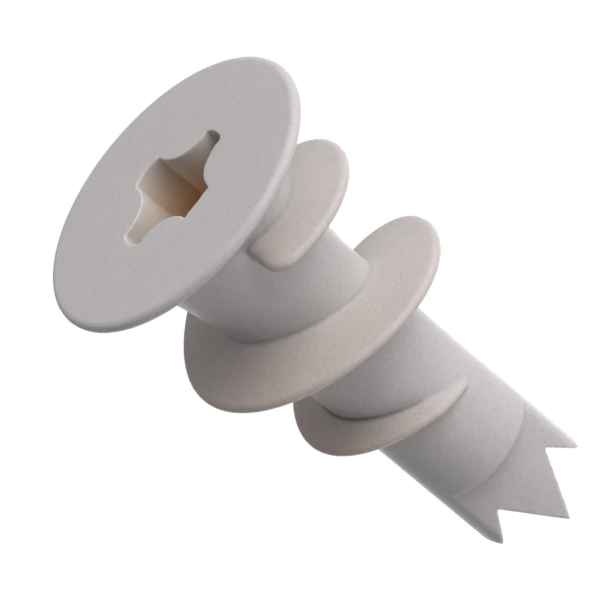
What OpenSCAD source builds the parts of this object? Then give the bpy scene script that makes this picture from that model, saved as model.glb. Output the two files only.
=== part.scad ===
// Self-drilling plasterboard anchor, moulded in one piece of nylon. It stands on its head:
// the face of the head lies on z = 0 and the teeth point up. The front is the -Y side.

/* [Head] */
// Diameter of the head
head_d = 12.7; // [10.5:0.1:16]
// Thickness of the head at its rounded rim
rim_t = 0.52; // [0.3:0.02:0.78]
// Thickness of the head where it meets the neck
head_t = 0.8; // [0.7:0.05:1.5]

/* [Cross recess] */
// Reach of the side arms from the middle of the recess
side_arm = 2.7; // [2:0.05:2.8]
// Reach of the front arm, which has a flat end, from the middle of the recess
front_arm = 2.25; // [2:0.05:2.8]
// Reach of the back arm from the middle of the recess
back_arm = 2.55; // [2:0.05:2.8]
// Radius of the round ends of the side arms and the back arm
arm_end_r = 1.3; // [1.1:0.05:1.6]
// Width of the side arms at their ends
side_arm_w = 1.35; // [0.8:0.05:1.8]
// Width of the front and back arms at their ends
front_arm_w = 1.5; // [0.8:0.05:1.9]
// Distance from the middle to each rounded land between two arms
land_gap = 1.6; // [1.1:0.05:1.65]
// Depth of the recess
recess_depth = 4; // [2:0.1:5]
// Offset of the recess from the axis, towards the left and towards the back
recess_offset = 0.12; // [0:0.02:0.2]

/* [Body] */
// Diameter of the straight body at the tip end
body_d = 5.2; // [4.8:0.1:5.8]
// Diameter of the core where the neck's flare has run out
core_d = 5.44; // [5:0.02:6.2]
// Diameter of the neck under the head
neck_d = 7.4; // [6.8:0.1:8]
// Height at which the neck's flare has run out
flare_end = 7.4; // [6:0.1:9]
// Height at which the core has narrowed to the body
core_end = 14.3; // [12:0.1:16]
// Height of the shoulder where the body gives way to the blade
shoulder_z = 17.6; // [16:0.1:18.4]
// Radius of the rounded edge of the shoulder
shoulder_r = 0.25; // [0.1:0.05:0.4]

/* [Screw bore] */
// Diameter of the bore for the screw
bore_d = 2.7; // [2:0.1:2.8]
// Depth of the bore from the face of the head
bore_depth = 15.5; // [8:0.1:16]

/* [Thread] */
// Outer diameter of the thread
thread_d = 10.9; // [8:0.1:12]
// Advance of the thread in one turn
pitch = 5.26; // [4:0.02:5.5]
// Height at which the thread's root starts, at the front
thread_z = 1.97; // [1.6:0.01:3]
// Direction of winding: -1 is left-handed, 1 is right-handed
thread_hand = -1; // [-1, 1]
// Angle at which the thread starts, past the front
start_angle = 0; // [-10:1:20]
// Angle at which the thread begins to narrow
fade_angle = 470; // [400:5:600]
// Angle at which the narrowed thread begins to sink into the body
dive_angle = 720; // [640:5:740]
// Outer diameter of the narrowed thread where it begins to sink into the body
dive_d = 6.85; // [6:0.05:8]
// Angle at which the thread has sunk into the body
end_angle = 765; // [745:5:840]
// Thickness of the thread at its rounded rim
thread_rim_t = 0.48; // [0.4:0.02:0.8]
// Rise of the thread's head side towards the tip, for each millimetre outward
thread_slope = 0.26; // [0:0.02:0.34]
// Radius of the rounded corner where the thread starts
start_r = 1.1; // [0.6:0.1:2]
// How far the thread swings from a true helix, to run flatter at the mould's parting sides
parting_swing = 0.18; // [0:0.02:0.24]
// How much higher the thread lies at the back than a true helix
back_rise = 0.2; // [0:0.02:0.3]

/* [Blade] */
// Thickness of the blade at its middle
blade_t = 3.1; // [2:0.1:3.6]
// Radius of the blade's two faces, which bulge a little
blade_face_r = 7; // [4:0.5:14]
// Height of the middle tooth's point
middle_tip = 22.2; // [21:0.05:24]
// Height of the side teeth's points
side_tip = 20.8; // [20:0.05:21]
// Distance of the side teeth's points from the axis, sideways
side_x = 2.4; // [2:0.05:2.55]
// Height of the notches between the teeth
notch_z = 19.35; // [18.6:0.05:19.8]
// Distance of the notches from the axis, sideways
notch_x = 1.52; // [1:0.02:1.8]

/* [Hidden] */

// Turn of the blade and the recess about the axis
TURN = -4;
// Steps of the thread's sweep, in degrees
THREAD_STEP = 8;
// Sections of the thread round its starting corner
START_STEPS = 5;
// How far the thread's root reaches into the body
SINK = 0.5;
// How far below the body's surface the thread ends
END_SINK = 0.05;
// Drop of the side teeth from their points to the body's round
SIDE_DROP = 0.2;
// Bend of the neck's flare: 1 is a straight cone, more is hollower
FLARE_POWER = 1.23;
// Steps of the flare's outline and of the taper's below it
FLARE_STEPS = 12;
TAPER_STEPS = 4;
// Steps of a rounded edge, in degrees
EDGE_STEP = 15;
// Overlap of joined solids, and how far cuts run past a face
LAP = 1;
// Facets of round parts
$fn = 72;

head_r = head_d / 2;
body_r = body_d / 2;
core_r = core_d / 2;
neck_r = neck_d / 2;
thread_r = thread_d / 2;
dive_r = dive_d / 2;
rim_r = rim_t / 2;
thread_rim_r = thread_rim_t / 2;

// Goes smoothly from 0 to 1 as t goes from 0 to 1
function ease(t) = let (u = min(1, max(0, t))) u * u * (3 - 2 * u);

// Radius of the core at a height: a flared neck, a slow taper, then the straight body
function core_at(z) =
    z < flare_end
    ? core_r + (neck_r - core_r) * pow(1 - (z - head_t) / (flare_end - head_t), FLARE_POWER)
    : core_r + (body_r - core_r) * ease((z - flare_end) / (core_end - flare_end));

// Heights from one to another in equal steps, leaving out the first
function heights(from, to, steps) = [for (i = [1:steps]) from + (to - from) * i / steps];

// Head, core and body as one outline, from the face of the head up to the shoulder
function turned_outline() =
    concat(
        [[0, 0]],
        [for (a = [-90:EDGE_STEP:90])
            [head_r - rim_r + rim_r * cos(a), rim_r + rim_r * sin(a)]],
        [[neck_r, head_t]],
        [for (z = heights(head_t, flare_end, FLARE_STEPS)) [core_at(z), z]],
        [for (z = heights(flare_end, core_end, TAPER_STEPS)) [core_at(z), z]],
        [for (a = [0:EDGE_STEP:90])
            [body_r - shoulder_r + shoulder_r * cos(a),
             shoulder_z - shoulder_r + shoulder_r * sin(a)]],
        [[0, shoulder_z]]
    );

module turned_body() {
    rotate_extrude() polygon(turned_outline());
}

// Height of the thread's tip side at an angle along the thread, where 0 is the front
function thread_top(a) =
    thread_z + (thread_r - core_r) * thread_slope + thread_rim_t
    + pitch * a / 360 + parting_swing * sin(2 * a) + back_rise * (1 - cos(a)) / 2;

// Outer radius of the thread: full, then narrowing, then sinking into the body
function thread_full_reach(a) =
    lookup(a, [
        [fade_angle, thread_r],
        [dive_angle, dive_r],
        [end_angle, body_r - END_SINK]
    ]);

// The same, with the rounded corner at the start
function thread_reach(a) =
    let (
        along = (a - start_angle) * PI / 180 * thread_r,
        back = max(0, start_r - along)
    )
    thread_full_reach(a) - start_r + sqrt(start_r * start_r - back * back);

// One section of the thread as radius and height, with a rounded rim
function thread_section(a) =
    let (
        reach = thread_reach(a),
        top = thread_top(a),
        root = body_r - SINK,
        rise = (reach - root) * thread_slope
    )
    concat(
        [[root, top - thread_rim_t - rise]],
        [for (b = [-75:30:75])
            [reach - thread_rim_r + thread_rim_r * cos(b),
             top - thread_rim_r + thread_rim_r * sin(b)]],
        [[root, top]]
    );

// Angles of the sections, closer together round the starting corner
function thread_angles() =
    let (corner = start_r / thread_r * 180 / PI)
    concat(
        [for (i = [0:START_STEPS - 1]) start_angle + corner * i / START_STEPS],
        [for (a = [start_angle + corner:THREAD_STEP:end_angle - THREAD_STEP / 2]) a],
        [end_angle]
    );

// The thread's flange, swept section by section round the axis
module thread() {
    angles = thread_angles();
    last = len(angles) - 1;
    n = len(thread_section(start_angle));
    points = [for (a = angles) for (p = thread_section(a))
        [-p[0] * sin(a), -p[0] * cos(a), p[1]]];
    sides = [for (i = [0:last - 1]) for (j = [0:n - 1])
        let (
            k = (j + 1) % n,
            here = i * n,
            next = here + n
        )
        each [[here + j, next + j, next + k], [here + j, next + k, here + k]]];
    ends = [
        [for (j = [0:n - 1]) j],
        [for (j = [n - 1:-1:0]) last * n + j]
    ];
    mirror([thread_hand > 0 ? 1 : 0, 0, 0])
        polyhedron(points, concat(sides, ends), convexity = 8);
}

// Toothed end of the blade, seen from the front
function tooth_outline() =
    let (low = shoulder_z - LAP, wide = body_r + LAP)
    [
        [-wide, low], [wide, low], [wide, side_tip - SIDE_DROP],
        [body_r, side_tip - SIDE_DROP],
        [side_x, side_tip],
        [notch_x, notch_z],
        [0, middle_tip],
        [-notch_x, notch_z],
        [-side_x, side_tip],
        [-body_r, side_tip - SIDE_DROP],
        [-wide, side_tip - SIDE_DROP]
    ];

// Section of the blade: two gently bulging faces within the body's own round
module blade_section() {
    intersection() {
        circle(r = body_r);
        translate([0, blade_face_r - blade_t / 2]) circle(r = blade_face_r);
        translate([0, blade_t / 2 - blade_face_r]) circle(r = blade_face_r);
    }
}

module blade() {
    intersection() {
        translate([0, 0, shoulder_z - LAP])
            linear_extrude(middle_tip - shoulder_z + 2 * LAP) blade_section();
        rotate([90, 0, 0])
            linear_extrude(body_d + 2 * LAP, center = true) polygon(tooth_outline());
    }
}

// Land between two arms, as a circle through the arms' corners
module land(sx, sy) {
    p = [side_arm, side_arm_w / 2];
    q = [front_arm_w / 2, sy < 0 ? front_arm : back_arm];
    mid = (p + q) / 2;
    half = norm(q - p) / 2;
    out = [q[1] - p[1], p[0] - q[0]] / (2 * half);
    sag = mid * out - land_gap;
    land_r = (half * half + sag * sag) / (2 * sag);
    centre = mid + out * (land_r - sag);
    translate([sx * centre[0], sy * centre[1]]) circle(r = land_r);
}

// Cross recess: a box out to the front arm's flat end and three round ends, less four lands
module recess() {
    side_mid = side_arm - arm_end_r;
    back_mid = back_arm - arm_end_r;
    translate([0, 0, -LAP])
        linear_extrude(recess_depth + LAP)
            difference() {
                union() {
                    translate([-side_mid, -front_arm])
                        square([2 * side_mid, front_arm + back_mid]);
                    translate([-side_mid, 0]) circle(r = arm_end_r);
                    translate([side_mid, 0]) circle(r = arm_end_r);
                    translate([0, back_mid]) circle(r = arm_end_r);
                }
                for (sx = [-1, 1], sy = [-1, 1])
                    land(sx, sy);
            }
}

module bore() {
    translate([0, 0, -LAP]) cylinder(d = bore_d, h = bore_depth + LAP);
}

module anchor() {
    color("#CFCBC5")
        difference() {
            union() {
                turned_body();
                thread();
                rotate([0, 0, TURN]) blade();
            }
            rotate([0, 0, TURN])
                translate([-recess_offset, recess_offset, 0]) recess();
            bore();
        }
}

anchor();
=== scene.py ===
from math import atan2, cos, degrees, exp, pi, radians, sin, sqrt

import bmesh
import bpy
from mathutils import Matrix, Vector


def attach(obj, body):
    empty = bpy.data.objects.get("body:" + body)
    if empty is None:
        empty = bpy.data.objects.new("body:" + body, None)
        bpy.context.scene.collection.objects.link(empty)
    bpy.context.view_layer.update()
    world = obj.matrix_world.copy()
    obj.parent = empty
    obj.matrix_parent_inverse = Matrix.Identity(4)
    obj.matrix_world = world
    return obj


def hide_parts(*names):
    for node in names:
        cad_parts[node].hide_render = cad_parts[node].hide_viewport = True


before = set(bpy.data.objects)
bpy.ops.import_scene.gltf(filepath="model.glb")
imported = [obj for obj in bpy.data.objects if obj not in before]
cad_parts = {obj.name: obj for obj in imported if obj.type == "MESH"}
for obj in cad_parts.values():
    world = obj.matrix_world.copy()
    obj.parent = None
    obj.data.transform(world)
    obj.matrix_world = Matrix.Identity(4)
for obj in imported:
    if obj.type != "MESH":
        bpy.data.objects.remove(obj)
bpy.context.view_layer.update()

# Camera. It looks at the head's face from the front and from below, through a long lens,
# with the anchor's axis running down to the right, as in the photograph.
MM = 0.001
LOOK_UP = radians(29.284)
AXIS_TILT = radians(39.788)
AIM = Vector((0.078, 0, 7.4)) * MM
CAMERA_DISTANCE = 400 * MM
PIXELS_PER_MM = 25.929
PICTURE_SIZE = 600
SENSOR = 36

ahead = Vector((0, cos(LOOK_UP), sin(LOOK_UP)))
along = (Vector((0, 0, 1)) - ahead * ahead.z).normalized()
across = ahead.cross(along)
image_right = cos(AXIS_TILT) * along - sin(AXIS_TILT) * across
image_up = -sin(AXIS_TILT) * along - cos(AXIS_TILT) * across

camera_data = bpy.data.cameras.new("camera")
camera_data.sensor_width = SENSOR
camera_data.lens = SENSOR * PIXELS_PER_MM * CAMERA_DISTANCE / MM / PICTURE_SIZE
camera_data.clip_start = 10 * MM
camera_data.clip_end = 100
camera = bpy.data.objects.new("camera", camera_data)
bpy.context.collection.objects.link(camera)
turn = Matrix((image_right, image_up, -ahead)).transposed().to_4x4()
camera.matrix_world = Matrix.Translation(AIM - ahead * CAMERA_DISTANCE) @ turn
bpy.context.scene.camera = camera


# Turned body. Head, flared neck, core and straight body, which the mould shapes round a
# core pin. Every edge is a little rounded, as moulded nylon comes out.
HEAD_R = 6.35
RIM_T = 0.52
HEAD_T = 0.8
NECK_R = 3.7
CORE_R = 2.72
BODY_R = 2.6
FLARE_END = 7.4
CORE_END = 14.3
FLARE_POWER = 1.23
SHOULDER_Z = 17.6
SHOULDER_R = 0.25
NECK_FILLET = 0.35
FILLET_SINK = 0.02
ROUND_STEP = 15
FLARE_STEPS = 24
TAPER_STEPS = 12
ROUND_SIDES = 180
MERGE_WITHIN = 1e-5
LAP = 1.0


def core_at(z):
    """Radius of the core at a height, in millimetres."""
    if z < FLARE_END:
        share = (z - HEAD_T) / (FLARE_END - HEAD_T)
        return CORE_R + (NECK_R - CORE_R) * (1 - share) ** FLARE_POWER
    share = min(1, (z - FLARE_END) / (CORE_END - FLARE_END))
    return CORE_R + (BODY_R - CORE_R) * share * share * (3 - 2 * share)


def as_object(bm, name):
    """The mesh as an object of the scene, with its faces pointing outwards."""
    bmesh.ops.remove_doubles(bm, verts=bm.verts, dist=MERGE_WITHIN)
    bmesh.ops.recalc_face_normals(bm, faces=bm.faces)
    mesh = bpy.data.meshes.new(name)
    bm.to_mesh(mesh)
    bm.free()
    piece = bpy.data.objects.new(name, mesh)
    bpy.context.collection.objects.link(piece)
    return piece


def turned(name, outline):
    """A solid of revolution about the Z axis, from (radius, height) points."""
    bm = bmesh.new()
    verts = [bm.verts.new((r, 0, z)) for r, z in outline]
    edges = [bm.edges.new(pair) for pair in zip(verts, verts[1:])]
    bmesh.ops.spin(bm, geom=verts + edges, cent=(0, 0, 0), axis=(0, 0, 1),
                   angle=2 * pi, steps=ROUND_SIDES, use_merge=True)
    return as_object(bm, name)


rim_r = RIM_T / 2
outline = [(0, 0)]
outline += [(HEAD_R - rim_r + rim_r * sin(radians(a)), rim_r - rim_r * cos(radians(a)))
            for a in range(0, 181, ROUND_STEP)]
outline += [(NECK_R + NECK_FILLET * (1 - sin(radians(a))) - FILLET_SINK,
             HEAD_T - FILLET_SINK + NECK_FILLET * (1 - cos(radians(a))))
            for a in range(0, 91, ROUND_STEP)]
heights = [HEAD_T + NECK_FILLET + (FLARE_END - HEAD_T - NECK_FILLET) * i / FLARE_STEPS
           for i in range(1, FLARE_STEPS + 1)]
heights += [FLARE_END + (CORE_END - FLARE_END) * i / TAPER_STEPS
            for i in range(1, TAPER_STEPS + 1)]
outline += [(core_at(z), z) for z in heights]
outline += [(BODY_R - SHOULDER_R + SHOULDER_R * cos(radians(a)),
             SHOULDER_Z - SHOULDER_R + SHOULDER_R * sin(radians(a)))
            for a in range(0, 91, ROUND_STEP)]
outline += [(0, SHOULDER_Z)]
anchor = turned("anchor_moulding", outline)


# Thread. A coarse flange moulded with the core: it starts blunt and rounded, slopes up to
# a rounded rim, and runs out into the straight body. It winds left-handed, as pictured.
THREAD_R = 5.45
LEAD = 5.26
THREAD_Z = 1.97
THREAD_RIM_T = 0.48
THREAD_SLOPE = 0.26
NARROW_FROM = 470
DIVE_FROM = 720
DIVE_R = 3.425
END_ANGLE = 765
START_R = 1.1
START_NOSE = 0.3
PARTING_SWING = 0.18
BACK_RISE = 0.2
ROOT_FILLET = 0.16
HEAD_SIDE_FILLET = 0.05
END_SINK = 0.05
ROOT_DEPTH = 0.4
LEAST_ROOM = 0.02
LEAST_THICKNESS = 0.2
FILLET_ANGLES = (0, 22, 45, 68, 90)
RIM_ANGLES = (-75, -45, -15, 15, 45, 75)
NOSE_STEPS = 6
CORNER_FROM = 3.2
CORNER_STEP = 1.5
CORNER_STEPS = 7
SWEEP_FROM = 15
THREAD_STEP = 3
thread_rim_r = THREAD_RIM_T / 2


def thread_top(a):
    """Height of the flange's tip side at an angle along the thread."""
    turn = radians(a)
    return (THREAD_Z + (THREAD_R - CORE_R) * THREAD_SLOPE + THREAD_RIM_T + LEAD * a / 360
            + PARTING_SWING * sin(2 * turn) + BACK_RISE * (1 - cos(turn)) / 2)


def thread_reach(a):
    """Outer radius of the flange at an angle along the thread."""
    back = max(0, START_R - radians(a) * THREAD_R)
    corner = START_R - sqrt(START_R ** 2 - back ** 2)
    narrowed = max(0, min(1, (a - NARROW_FROM) / (DIVE_FROM - NARROW_FROM)))
    dived = max(0, (a - DIVE_FROM) / (END_ANGLE - DIVE_FROM))
    return (THREAD_R - corner - (THREAD_R - DIVE_R) * narrowed
            - (DIVE_R - BODY_R + END_SINK) * dived)


def thread_section(a):
    """One section of the flange as points in space, filleted to the core, with a round rim."""
    top, reach = thread_top(a), thread_reach(a)
    low = top - THREAD_RIM_T
    core = core_at(top - THREAD_RIM_T / 2)
    room = max(LEAST_ROOM, min(1, (reach - core) / (3 * ROOT_FILLET)))
    fillet = HEAD_SIDE_FILLET * room
    points = [(core - ROOT_DEPTH, low - (reach - core) * THREAD_SLOPE - fillet)]
    for b in FILLET_ANGLES:
        out = fillet * (1 - cos(radians(b)))
        drop = fillet * (1 - sin(radians(b)))
        points.append((core + out, low - (reach - core - out) * THREAD_SLOPE - drop))
    for b in RIM_ANGLES:
        points.append((reach - thread_rim_r + thread_rim_r * cos(radians(b)),
                       top - thread_rim_r + thread_rim_r * sin(radians(b))))
    fillet = ROOT_FILLET * room
    for b in reversed(FILLET_ANGLES):
        out = fillet * (1 - cos(radians(b)))
        drop = fillet * (1 - sin(radians(b)))
        points.append((core + out, top + drop))
    points.append((core - ROOT_DEPTH, top + fillet))
    nose = max(0, 1 - radians(a) * THREAD_R / START_NOSE)
    thinned = max(LEAST_THICKNESS, sqrt(1 - min(1, nose) ** 2))
    turn = radians(a)
    placed = []
    for r, z in points:
        middle = top - THREAD_RIM_T / 2 - (reach - r) * THREAD_SLOPE / 2
        z = middle + (z - middle) * thinned
        placed.append(Vector((-r * sin(turn), -r * cos(turn), z)))
    return placed


thread_angles = [degrees(START_NOSE / THREAD_R) * i / NOSE_STEPS for i in range(NOSE_STEPS)]
thread_angles += [CORNER_FROM + CORNER_STEP * i for i in range(CORNER_STEPS)]
thread_angles += range(SWEEP_FROM, END_ANGLE + 1, THREAD_STEP)
bm = bmesh.new()
front = bm.faces.new([bm.verts.new(p) for p in thread_section(0)])
for a in thread_angles[1:]:
    grown = bmesh.ops.extrude_face_region(bm, geom=[front])
    if a > thread_angles[1]:
        bmesh.ops.delete(bm, geom=[front], context="FACES_ONLY")
    front = [g for g in grown["geom"] if isinstance(g, bmesh.types.BMFace)][0]
    for vert, place in zip(front.verts, thread_section(a)):
        vert.co = place
thread = as_object(bm, "thread")


# Blade. The flat toothed end that cuts through the board, with two gently bulging faces
# and two side strips that lie on the body's own round.
TURN = radians(-4)
BLADE_T = 3.1
BLADE_FACE_R = 7
BLADE_EDGE_R = 0.45
MIDDLE_TIP = 22.2
SIDE_TIP = 20.8
SIDE_X = 2.4
SIDE_DROP = 0.2
NOTCH_Z = 19.35
NOTCH_X = 1.52
FACE_STEPS = 12
EDGE_STEPS = 8
SIDE_STEPS = 8


def combine(piece, tool, operation):
    """Joins or cuts the piece with the tool, which is used up."""
    modifier = piece.modifiers.new(operation.lower(), "BOOLEAN")
    modifier.operation = operation
    modifier.solver = "MANIFOLD"
    modifier.object = tool
    settle(piece)
    bpy.data.objects.remove(tool)


def settle(piece):
    """Replaces the piece's mesh by what its modifiers make of it."""
    graph = bpy.context.evaluated_depsgraph_get()
    mesh = bpy.data.meshes.new_from_object(piece.evaluated_get(graph))
    piece.modifiers.clear()
    piece.data = mesh


def round_bar(name, radius, low, high, centre=(0, 0)):
    """A plain cylinder between two heights."""
    bm = bmesh.new()
    bmesh.ops.create_cone(bm, cap_ends=True, segments=ROUND_SIDES, radius1=radius,
                          radius2=radius, depth=high - low,
                          matrix=Matrix.Translation((centre[0], centre[1], (low + high) / 2)))
    return as_object(bm, name)


def prism(name, corners, low, high):
    """An outline drawn between two heights."""
    bm = bmesh.new()
    face = bm.faces.new([bm.verts.new((x, y, low)) for x, y in corners])
    grown = bmesh.ops.extrude_face_region(bm, geom=[face])
    bmesh.ops.translate(bm, vec=(0, 0, high - low),
                        verts=[g for g in grown["geom"] if isinstance(g, bmesh.types.BMVert)])
    return as_object(bm, name)


# One quarter of the section: half of the face, the rounded edge, half of the side.
face_y = BLADE_T / 2 - BLADE_FACE_R
edge_y = ((BLADE_FACE_R - BLADE_EDGE_R) ** 2 - face_y ** 2
          - (BODY_R - BLADE_EDGE_R) ** 2) / (-2 * face_y)
edge_x = sqrt((BODY_R - BLADE_EDGE_R) ** 2 - edge_y ** 2)
face_end = atan2(edge_x, edge_y - face_y)
side_end = atan2(edge_x, edge_y)
quarter = []
for i in range(FACE_STEPS):
    bearing = face_end * i / FACE_STEPS
    quarter.append((BLADE_FACE_R * sin(bearing), face_y + BLADE_FACE_R * cos(bearing)))
for i in range(EDGE_STEPS):
    bearing = face_end + (side_end - face_end) * i / EDGE_STEPS
    quarter.append((edge_x + BLADE_EDGE_R * sin(bearing), edge_y + BLADE_EDGE_R * cos(bearing)))
for i in range(SIDE_STEPS + 1):
    bearing = side_end + (pi / 2 - side_end) * i / SIDE_STEPS
    quarter.append((BODY_R * sin(bearing), BODY_R * cos(bearing)))
half_round = quarter + [(x, -y) for x, y in reversed(quarter[:-1])]
section = half_round + [(-x, y) for x, y in reversed(half_round[1:-1])]

low, high, wide = SHOULDER_Z - LAP, MIDDLE_TIP + LAP, BODY_R + LAP
blade = prism("blade", section, low, high)
teeth = [(-wide, low - LAP), (wide, low - LAP), (wide, SIDE_TIP - SIDE_DROP),
         (BODY_R, SIDE_TIP - SIDE_DROP), (SIDE_X, SIDE_TIP), (NOTCH_X, NOTCH_Z),
         (0, MIDDLE_TIP), (-NOTCH_X, NOTCH_Z), (-SIDE_X, SIDE_TIP),
         (-BODY_R, SIDE_TIP - SIDE_DROP), (-wide, SIDE_TIP - SIDE_DROP)]
tooth_plate = prism("teeth", teeth, -wide, wide)
tooth_plate.data.transform(Matrix.Rotation(pi / 2, 4, "X"))
combine(blade, tooth_plate, "INTERSECT")
blade.data.transform(Matrix.Rotation(TURN, 4, "Z"))


# Cross recess and screw bore. Two crossed arms with round ends, between four rounded
# lands, take a cross driver. The bore below them takes the screw.
SIDE_ARM = 2.7
FRONT_ARM = 2.25
BACK_ARM = 2.55
ARM_END_R = 1.3
SIDE_ARM_W = 1.35
FRONT_ARM_W = 1.5
LAND_GAP = 1.6
RECESS_DEPTH = 4
RECESS_OFFSET = 0.12
BORE_R = 1.35
BORE_DEPTH = 15.5

side_mid, back_mid = SIDE_ARM - ARM_END_R, BACK_ARM - ARM_END_R
bm = bmesh.new()
bmesh.ops.create_cube(bm, size=1, matrix=Matrix.Translation(
    (0, (back_mid - FRONT_ARM) / 2, (RECESS_DEPTH - LAP) / 2))
    @ Matrix.Diagonal((2 * side_mid, FRONT_ARM + back_mid, RECESS_DEPTH + LAP, 1)))
recess = as_object(bm, "recess")
for centre in ((-side_mid, 0), (side_mid, 0), (0, back_mid)):
    combine(recess, round_bar("arm_end", ARM_END_R, -LAP, RECESS_DEPTH, centre), "UNION")
for reach, sy in ((FRONT_ARM, -1), (BACK_ARM, 1)):
    side_corner = Vector((SIDE_ARM, SIDE_ARM_W / 2))
    end_corner = Vector((FRONT_ARM_W / 2, reach))
    half_way = (side_corner + end_corner) / 2
    half = (end_corner - side_corner).length / 2
    outward = Vector((end_corner.y - side_corner.y, side_corner.x - end_corner.x)) / (2 * half)
    sag = half_way.dot(outward) - LAND_GAP
    land_r = (half * half + sag * sag) / (2 * sag)
    land_centre = half_way + outward * (land_r - sag)
    for sx in (-1, 1):
        land = round_bar("land", land_r, -2 * LAP, RECESS_DEPTH + LAP,
                         (sx * land_centre.x, sy * land_centre.y))
        combine(recess, land, "DIFFERENCE")
recess.data.transform(Matrix.Rotation(TURN, 4, "Z")
                      @ Matrix.Translation((-RECESS_OFFSET, RECESS_OFFSET, 0)))

combine(anchor, thread, "UNION")
combine(anchor, blade, "UNION")
combine(anchor, recess, "DIFFERENCE")
combine(anchor, round_bar("bore", BORE_R, -LAP, BORE_DEPTH), "DIFFERENCE")


# The whole moulding. One shot of nylon: the skin runs on over every joint of its forms,
# so the mesh is drawn over them as one skin and its edges are softened.
SKIN_GRAIN = 0.06
SKIN_TRIANGLES = 190000
SOFTENING = 0.5
SOFTENING_PASSES = 3
# Painted crease shade under the flange: its width, its least share, and where it grows along the
# last turn.
CREASE_WIDTH = 0.11
CREASE_LEAST = 0.25
LAST_TURN_FROM = 500
LAST_TURN_FADE = 80
END_FADE = 60


def crease_shade_at(angle, radius, z):
    """Weight of the painted crease shade at a place: how deep in the corner under the flange it
    lies, more along the last turn.
    """
    deepest = 0
    for a in (angle, angle + 360, angle + 720):
        if a < DIVE_FROM:
            height = thread_top(a) - THREAD_RIM_T
            height -= (thread_reach(a) - core_at(height)) * THREAD_SLOPE
            away = ((radius - core_at(height)) ** 2 + (z - height) ** 2) / CREASE_WIDTH ** 2
            last_turn = max(0, min(1, (a - LAST_TURN_FROM) / LAST_TURN_FADE))
            last_turn *= max(0, min(1, (DIVE_FROM - a) / END_FADE))
            share = CREASE_LEAST + (1 - CREASE_LEAST) * last_turn
            deepest = max(deepest, share * exp(-away))
    return deepest


skin = anchor.modifiers.new("skin", "REMESH")
skin.mode = "VOXEL"
skin.voxel_size = SKIN_GRAIN
soften = anchor.modifiers.new("soften", "SMOOTH")
soften.factor = SOFTENING
soften.iterations = SOFTENING_PASSES
settle(anchor)
thin_out = anchor.modifiers.new("thin_out", "DECIMATE")
thin_out.ratio = min(1, SKIN_TRIANGLES / (2 * len(anchor.data.polygons)))
settle(anchor)
# Painted shade in the corner under the flange, stored per point.
crease_shade = anchor.data.attributes.new("crease_shade", "FLOAT", "POINT")
for vert, mark in zip(anchor.data.vertices, crease_shade.data):
    x, y, z = vert.co
    mark.value = crease_shade_at(degrees(atan2(-x, -y)) % 360, sqrt(x * x + y * y), z)
anchor.data.transform(Matrix.Scale(MM, 4))
for polygon in anchor.data.polygons:
    polygon.use_smooth = True


def linear(colour):
    """An sRGB hex colour as linear light."""
    parts = [int(colour[i:i + 2], 16) / 255 for i in (1, 3, 5)]
    return [c / 12.92 if c <= 0.04045 else ((c + 0.055) / 1.055) ** 2.4 for c in parts] + [1]


def add(tree, kind, settings=None, links=None):
    """Adds a node with its settings, its input values and its links."""
    node = tree.nodes.new(kind)
    for name, value in (settings or {}).items():
        if isinstance(name, str) and hasattr(node, name):
            setattr(node, name, value)
        else:
            node.inputs[name].default_value = value
    for name, source in (links or {}).items():
        tree.links.new(source, node.inputs[name])
    return node


# Moulded nylon, undyed: a grey white that light sinks into, with a satin skin. Painted shade
# is laid into its colour: the recess is painted browner with depth, for its warm shade and the
# light through nylon there, the thin flange warmer, most on its +X side, which lies in shade,
# and the corner under the flange dark brown, most along its last turn. Each pair below is where a
# change of colour starts and ends, in millimetres.
CLOUDS_PER_MM = 0.9
SAND_PER_MM = 6
GRAINS_PER_MM = 3.6
SAND_SHARE = 0.75
RECESS_ROUND = (2.88, 2.98)
RECESS_MOUTH = (0.03, 0.2)
RECESS_END = (4.1, 4.2)
RECESS_PAINTED_SHADE = (0.1, 3.0)
CORE_BOUND = (3.85, 2.8)
FLANGE_EDGE = (0, 0.4)
HEAD_BACK = (0.8, 1.2)
SHADE_SIDE_ACROSS = (-4.5, 3.5)
SHADE_SIDE_SHARE = (0.3, 0.9)
GRAIN_DEPTH = 0.02
LIGHT_REACH = 0.3

nylon = bpy.data.materials.new("moulded_nylon")
nylon.use_nodes = True
tree = nylon.node_tree
tree.nodes.clear()
place = add(tree, "ShaderNodeTexCoord")
cloud = add(tree, "ShaderNodeTexNoise",
            {"Scale": CLOUDS_PER_MM / MM, "Detail": 5, "Roughness": 0.65},
            {"Vector": place.outputs["Object"]})
sand = add(tree, "ShaderNodeTexNoise",
           {"Scale": SAND_PER_MM / MM, "Detail": 3, "Roughness": 0.6},
           {"Vector": place.outputs["Object"]})
mottle = add(tree, "ShaderNodeMix", {"Factor": SAND_SHARE},
             {2: cloud.outputs["Fac"], 3: sand.outputs["Fac"]})
tone = add(tree, "ShaderNodeMix",
           {"data_type": "RGBA", 6: linear("#E0DBDA"), 7: linear("#B9B5B6")},
           {"Factor": mottle.outputs[0]})
spot = add(tree, "ShaderNodeSeparateXYZ", links={"Vector": place.outputs["Object"]})
off_axis = add(tree, "ShaderNodeVectorMath", {"operation": "MULTIPLY", 1: (1, 1, 0)},
               {0: place.outputs["Object"]})
radius = add(tree, "ShaderNodeVectorMath", {"operation": "LENGTH"},
             {0: off_axis.outputs["Vector"]})
inside = add(tree, "ShaderNodeMapRange",
             {"From Min": RECESS_ROUND[0] * MM, "From Max": RECESS_ROUND[1] * MM,
              "To Min": 1, "To Max": 0},
             {"Value": radius.outputs["Value"]})
past_face = add(tree, "ShaderNodeMapRange",
                {"From Min": RECESS_MOUTH[0] * MM, "From Max": RECESS_MOUTH[1] * MM},
                {"Value": spot.outputs["Z"]})
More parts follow.
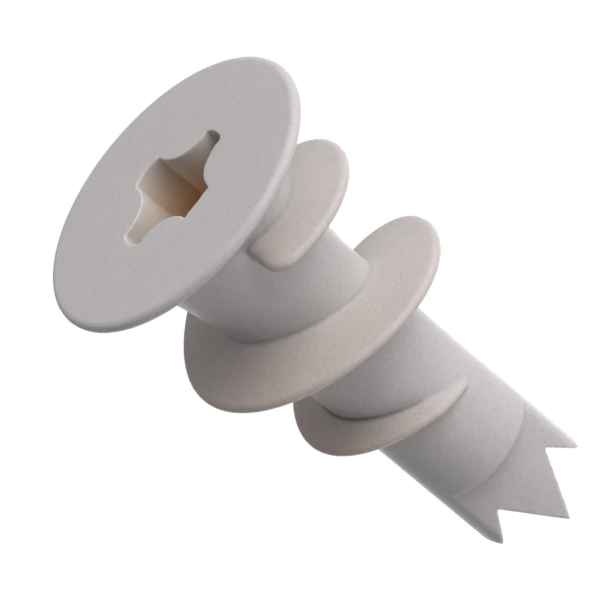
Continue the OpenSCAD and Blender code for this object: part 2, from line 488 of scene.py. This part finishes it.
above_floor = add(tree, "ShaderNodeMapRange",
                  {"From Min": RECESS_END[0] * MM, "From Max": RECESS_END[1] * MM,
                   "To Min": 1, "To Max": 0},
                  {"Value": spot.outputs["Z"]})
between = add(tree, "ShaderNodeMath", {"operation": "MULTIPLY"},
              {0: past_face.outputs["Result"], 1: above_floor.outputs["Result"]})
in_recess = add(tree, "ShaderNodeMath", {"operation": "MULTIPLY"},
                {0: inside.outputs["Result"], 1: between.outputs[0]})
core_edge = add(tree, "ShaderNodeMapRange",
                {"From Min": HEAD_T * MM, "From Max": FLARE_END * MM,
                 "To Min": CORE_BOUND[0] * MM, "To Max": CORE_BOUND[1] * MM},
                {"Value": spot.outputs["Z"]})
stands_out = add(tree, "ShaderNodeMath", {"operation": "SUBTRACT"},
                 {0: radius.outputs["Value"], 1: core_edge.outputs["Result"]})
on_flange = add(tree, "ShaderNodeMapRange",
                {"From Min": FLANGE_EDGE[0] * MM, "From Max": FLANGE_EDGE[1] * MM},
                {"Value": stands_out.outputs[0]})
past_head = add(tree, "ShaderNodeMapRange",
                {"From Min": HEAD_BACK[0] * MM, "From Max": HEAD_BACK[1] * MM},
                {"Value": spot.outputs["Z"]})
thin_part = add(tree, "ShaderNodeMath", {"operation": "MULTIPLY"},
                {0: on_flange.outputs["Result"], 1: past_head.outputs["Result"]})
# Painted shade: the thin flange is painted warmer, for the light through it and its shade, most
# towards +X, the side that lies in shade.
shade_side = add(tree, "ShaderNodeMapRange",
               {"From Min": SHADE_SIDE_ACROSS[0] * MM, "From Max": SHADE_SIDE_ACROSS[1] * MM,
                "To Min": SHADE_SIDE_SHARE[0], "To Max": SHADE_SIDE_SHARE[1]},
               {"Value": spot.outputs["X"]})
flange_painted_shade = add(tree, "ShaderNodeMath", {"operation": "MULTIPLY"},
           {0: thin_part.outputs[0], 1: shade_side.outputs["Result"]})
painted_flange_colour = add(tree, "ShaderNodeMix",
             {"data_type": "RGBA", "blend_type": "MULTIPLY", 7: linear("#FFF5EC")},
             {"Factor": flange_painted_shade.outputs[0], 6: tone.outputs[2]})
# Painted shade: the recess is painted browner with depth, for its warm shade.
depth = add(tree, "ShaderNodeMapRange",
            {"From Min": RECESS_PAINTED_SHADE[0] * MM, "From Max": RECESS_PAINTED_SHADE[1] * MM},
            {"Value": spot.outputs["Z"]})
recess_painted_shade = add(tree, "ShaderNodeValToRGB", links={"Fac": depth.outputs["Result"]})
recess_painted_shade.color_ramp.elements[0].color = linear("#D6D0CD")
recess_painted_shade.color_ramp.elements[1].color = linear("#D6A87C")
halfway = recess_painted_shade.color_ramp.elements.new(0.35)
halfway.color = linear("#D4C5B4")
body_colour = add(tree, "ShaderNodeMix", {"data_type": "RGBA"},
                  {"Factor": in_recess.outputs[0], 6: painted_flange_colour.outputs[2],
                   7: recess_painted_shade.outputs["Color"]})
grain = add(tree, "ShaderNodeTexNoise", {"Scale": GRAINS_PER_MM / MM, "Detail": 3},
            {"Vector": place.outputs["Object"]})
bump = add(tree, "ShaderNodeBump", {"Strength": 0.35, "Distance": GRAIN_DEPTH * MM},
           {"Height": grain.outputs["Fac"]})
# Painted crease shade: the corner under the flange is multiplied towards dark brown.
corner = add(tree, "ShaderNodeAttribute", {"attribute_name": "crease_shade"})
with_crease_shade = add(tree, "ShaderNodeMix",
             {"data_type": "RGBA", "blend_type": "MULTIPLY", 7: linear("#8C7866")},
             {"Factor": corner.outputs["Fac"], 6: body_colour.outputs[2]})
surface = add(tree, "ShaderNodeBsdfPrincipled",
              {"Roughness": 0.5, "IOR": 1.53, "Specular IOR Level": 0.25, "Subsurface Weight": 1.0,
               "Subsurface Scale": LIGHT_REACH * MM, "Subsurface Radius": (1.0, 0.94, 0.88)},
              {"Base Color": with_crease_shade.outputs[2], "Normal": bump.outputs["Normal"]})
add(tree, "ShaderNodeOutputMaterial", links={"Surface": surface.outputs["BSDF"]})
anchor.data.materials.clear()
anchor.data.materials.append(nylon)
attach(anchor, "root")
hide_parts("anchor")


# Floor. A plain pale table top just under the head, seen only from above, so the camera
# below it sees the head's face. It fades to the white backdrop away from the anchor.
FLOOR_HALF = 3
FLOOR_GAP = 0.02 * MM
FLOOR_FADE = (30 * MM, 120 * MM)
FLOOR_GLOW = 0.38
bm = bmesh.new()
bmesh.ops.create_grid(bm, x_segments=1, y_segments=1, size=FLOOR_HALF,
                      matrix=Matrix.Translation((0, 0, -FLOOR_GAP)))
floor_mesh = bpy.data.meshes.new("floor")
bm.to_mesh(floor_mesh)
bm.free()
floor = bpy.data.objects.new("floor", floor_mesh)
bpy.context.collection.objects.link(floor)
floor.visible_shadow = False
floor.visible_diffuse = False
floor.visible_glossy = False
floor.visible_transmission = False
table = bpy.data.materials.new("pale_table")
table.use_nodes = True
tree = table.node_tree
tree.nodes.clear()
place = add(tree, "ShaderNodeTexCoord")
distance = add(tree, "ShaderNodeVectorMath", {"operation": "LENGTH"},
               {0: place.outputs["Object"]})
fade = add(tree, "ShaderNodeMapRange", {"From Min": FLOOR_FADE[0], "From Max": FLOOR_FADE[1]},
           {"Value": distance.outputs["Value"]})
pale = add(tree, "ShaderNodeBsdfDiffuse", {"Color": linear("#D8D8D6")})
white = add(tree, "ShaderNodeEmission", {"Strength": 1.0})
glow = add(tree, "ShaderNodeEmission", {"Strength": FLOOR_GLOW})
near = add(tree, "ShaderNodeAddShader", links={0: pale.outputs[0], 1: glow.outputs[0]})
far = add(tree, "ShaderNodeMixShader", links={0: fade.outputs["Result"], 1: near.outputs[0],
                                              2: white.outputs[0]})
side = add(tree, "ShaderNodeNewGeometry")
clear = add(tree, "ShaderNodeBsdfTransparent")
seen = add(tree, "ShaderNodeMixShader", links={0: side.outputs["Backfacing"],
                                               1: far.outputs[0], 2: clear.outputs[0]})
add(tree, "ShaderNodeOutputMaterial", links={"Surface": seen.outputs[0]})
floor_mesh.materials.append(table)


# Light. Plain soft studio light: four large lamps round the camera, two weaker ones behind
# the anchor and an even pale surround. The backdrop is white to the camera.
LAMP_DISTANCE = 0.3
LAMP_SIZE = 0.22
SURROUND_LIGHT = 0.135


def lamp(name, direction, power):
    """A square soft lamp that faces the anchor."""
    data = bpy.data.lights.new(name, "AREA")
    data.size = LAMP_SIZE
    data.energy = power
    unit = bpy.data.objects.new(name, data)
    bpy.context.collection.objects.link(unit)
    spot = AIM + direction.normalized() * LAMP_DISTANCE
    unit.matrix_world = (Matrix.Translation(spot)
                         @ direction.to_track_quat("Z", "Y").to_matrix().to_4x4())


lamp("front_lamp", 0.2 * image_right + 0.8 * image_up - ahead, 0.545)
lamp("top_lamp", 0.6 * image_right + image_up - 0.2 * ahead, 0.365)
lamp("side_lamp", image_right - 0.8 * image_up - 0.5 * ahead, 0.26)
lamp("left_lamp", image_up - image_right - 0.8 * ahead, 0.16)
lamp("back_lamp", Vector((-0.3, 1, 0.9)), 0.35)
lamp("far_side_lamp", Vector((0.25, 1, 0.8)), 0.25)

world = bpy.data.worlds.new("surround")
world.use_nodes = True
tree = world.node_tree
tree.nodes.clear()
path = add(tree, "ShaderNodeLightPath")
seen_or_mirrored = add(tree, "ShaderNodeMath", {"operation": "MAXIMUM"},
                       {0: path.outputs["Is Camera Ray"], 1: path.outputs["Is Glossy Ray"]})
seen_through = add(tree, "ShaderNodeMath", {"operation": "MAXIMUM"},
                   {0: seen_or_mirrored.outputs[0], 1: path.outputs["Is Transmission Ray"]})
soft = add(tree, "ShaderNodeBackground", {"Color": linear("#FFFFFF"), "Strength": SURROUND_LIGHT})
white = add(tree, "ShaderNodeBackground", {"Color": linear("#FFFFFF"), "Strength": 1.0})
sky = add(tree, "ShaderNodeMixShader", links={0: seen_through.outputs[0], 1: soft.outputs[0],
                                              2: white.outputs[0]})
add(tree, "ShaderNodeOutputWorld", links={"Surface": sky.outputs[0]})
bpy.context.scene.world = world
bpy.context.scene.view_settings.view_transform = "Standard"
